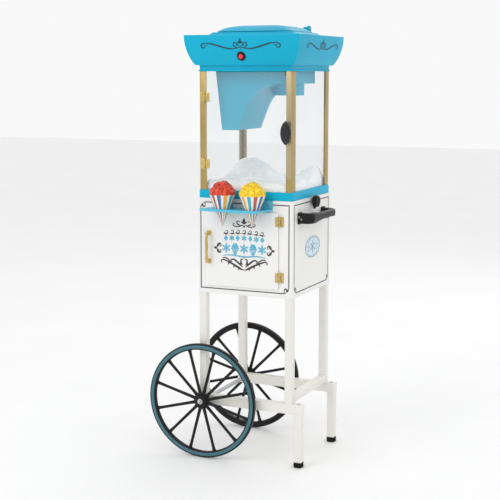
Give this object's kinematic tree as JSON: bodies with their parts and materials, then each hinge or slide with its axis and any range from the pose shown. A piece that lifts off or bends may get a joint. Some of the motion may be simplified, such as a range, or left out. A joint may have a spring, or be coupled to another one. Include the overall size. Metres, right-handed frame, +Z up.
{
  "type": "shaved ice machine",
  "caption": "Free-standing cart that shaves ice down a chute into a glazed case, with a storage cabinet, a cone shelf, wheels and a push handle.",
  "frame": {"origin": "centre of the underside of the whole bounding box, on the floor", "axes": "+X towards the push handle and away from the wheels, -Y towards the front with the two doors, +Z up"},
  "size_m": [0.477, 0.399, 1.216],
  "materials": {
    "ivory_paint": "gloss",
    "black_rubber": "matte",
    "bright_steel": "satin",
    "white_enamel": "gloss",
    "blue_plastic": "gloss",
    "light_blue_plastic": "gloss",
    "black_plastic": "satin",
    "grey_plastic": "satin",
    "belt_rubber": "matte",
    "brass": "polished",
    "clear_acrylic": "clear and polished",
    "shaved_ice": "granular",
    "red_plastic": "gloss",
    "cup_paper": "matte with printed stripes",
    "red_ice": "granular and wet",
    "yellow_ice": "granular and wet"
  },
  "bodies": {
    "machine": {"leg_front_left": "ivory_paint", "leg_front_right": "ivory_paint", "leg_rear_left": "ivory_paint", "leg_rear_right": "ivory_paint", "rail_front": "ivory_paint", "rail_rear": "ivory_paint", "cross_rail": "ivory_paint", "lower_legs": "ivory_paint", "rubber_feet": "black_rubber", "wheel_axle": "bright_steel", "axle_caps": "bright_steel", "frame_bolts": "bright_steel", "cabinet_floor": "white_enamel", "cabinet_left_panel": "white_enamel", "cabinet_right_panel": "white_enamel", "cabinet_back_panel": "white_enamel", "cabinet_front_frame": "white_enamel", "deck_tray": "blue_plastic", "drain_spout": "grey_plastic", "cone_shelf": "light_blue_plastic", "push_handle": "black_plastic", "door_magnets": "grey_plastic", "fixed_hinge_leaves": "brass", "post_front_left": "brass", "post_front_right": "brass", "rear_posts": "brass", "left_pane": "clear_acrylic", "right_pane": "clear_acrylic", "rear_pane": "clear_acrylic", "front_sill": "clear_acrylic", "upper_trim": "blue_plastic", "mechanism_plate": "bright_steel", "canopy": "blue_plastic", "drive_cover": "blue_plastic", "snow_chute": "blue_plastic", "ice_hopper": "grey_plastic", "motor": "bright_steel", "drive_belt": "belt_rubber", "button_bezel": "black_plastic", "cord_gland": "black_plastic", "snow_heap": "shaved_ice", "lid_hinge": "blue_plastic"},
    "front_wheel": {"wheel_front": "black_plastic"},
    "rear_wheel": {"wheel_rear": "black_plastic"},
    "case_door": {"case_door_pane": "clear_acrylic", "case_door_leaves": "brass", "case_door_knob": "black_plastic"},
    "storage_door_set": {"storage_door": "white_enamel", "storage_door_leaves": "brass", "storage_door_pull": "brass"},
    "lid": {"ice_lid": "blue_plastic"},
    "button": {"push_button": "red_plastic"},
    "drain_stopper": {"drain_cap": "black_plastic"},
    "shaver": {"shaver_disc": "bright_steel", "drive_pulley": "bright_steel"},
    "motor_shaft": {"motor_pulley": "bright_steel"},
    "left_cone": {"left_cup": "cup_paper", "left_ice": "red_ice"},
    "right_cone": {"right_cup": "cup_paper", "right_ice": "yellow_ice"}
  },
  "joints": [
    {"name": "front_wheel_spin", "type": "hinge", "parent": "machine", "child": "front_wheel", "pos_m": [-0.0735, -0.1415, 0.165], "axis": [0, 1, 0], "continuous": true},
    {"name": "rear_wheel_spin", "type": "hinge", "parent": "machine", "child": "rear_wheel", "pos_m": [-0.0735, 0.1785, 0.165], "axis": [0, 1, 0], "continuous": true},
    {"name": "case_door_swing", "type": "hinge", "parent": "machine", "child": "case_door", "pos_m": [-0.0685, -0.1277, 0.9435], "axis": [0, 0, -1], "range_deg": [0, 110]},
    {"name": "storage_door_swing", "type": "hinge", "parent": "machine", "child": "storage_door_set", "pos_m": [0.1563, -0.1273, 0.603], "axis": [0, 0, 1], "range_deg": [0, 110]},
    {"name": "lid_tip", "type": "hinge", "parent": "machine", "child": "lid", "pos_m": [0.0515, 0.1225, 1.207], "axis": [-1, 0, 0], "range_deg": [0, 100]},
    {"name": "button_press", "type": "slide", "parent": "machine", "child": "button", "axis": [0, 0.932, 0.3624], "range_m": [0, 0.003], "stiffness_N_per_m": 300},
    {"name": "drain_cap_turn", "type": "hinge", "parent": "machine", "child": "drain_stopper", "pos_m": [0.2065, 0.0185, 0.7295], "axis": [1, 0, 0], "range_deg": [0, 90]},
    {"name": "shaver_spin", "type": "hinge", "parent": "machine", "child": "shaver", "pos_m": [0.0515, 0.0135, 1.1175], "axis": [0, 0, 1], "continuous": true},
    {"name": "motor_spin", "type": "hinge", "parent": "machine", "child": "motor_shaft", "pos_m": [0.1195, 0.0185, 1.068], "axis": [0, 0, 1], "continuous": true},
    {"name": "left_cone_lift", "type": "slide", "parent": "machine", "child": "left_cone", "axis": [0, 0, 1], "range_m": [0, 0.1]},
    {"name": "right_cone_lift", "type": "slide", "parent": "machine", "child": "right_cone", "axis": [0, 0, 1], "range_m": [0, 0.1]}
  ],
  "couplings": [
    {"joint": "motor_spin", "follows": "shaver_spin", "ratio": 2.6667}
  ]
}
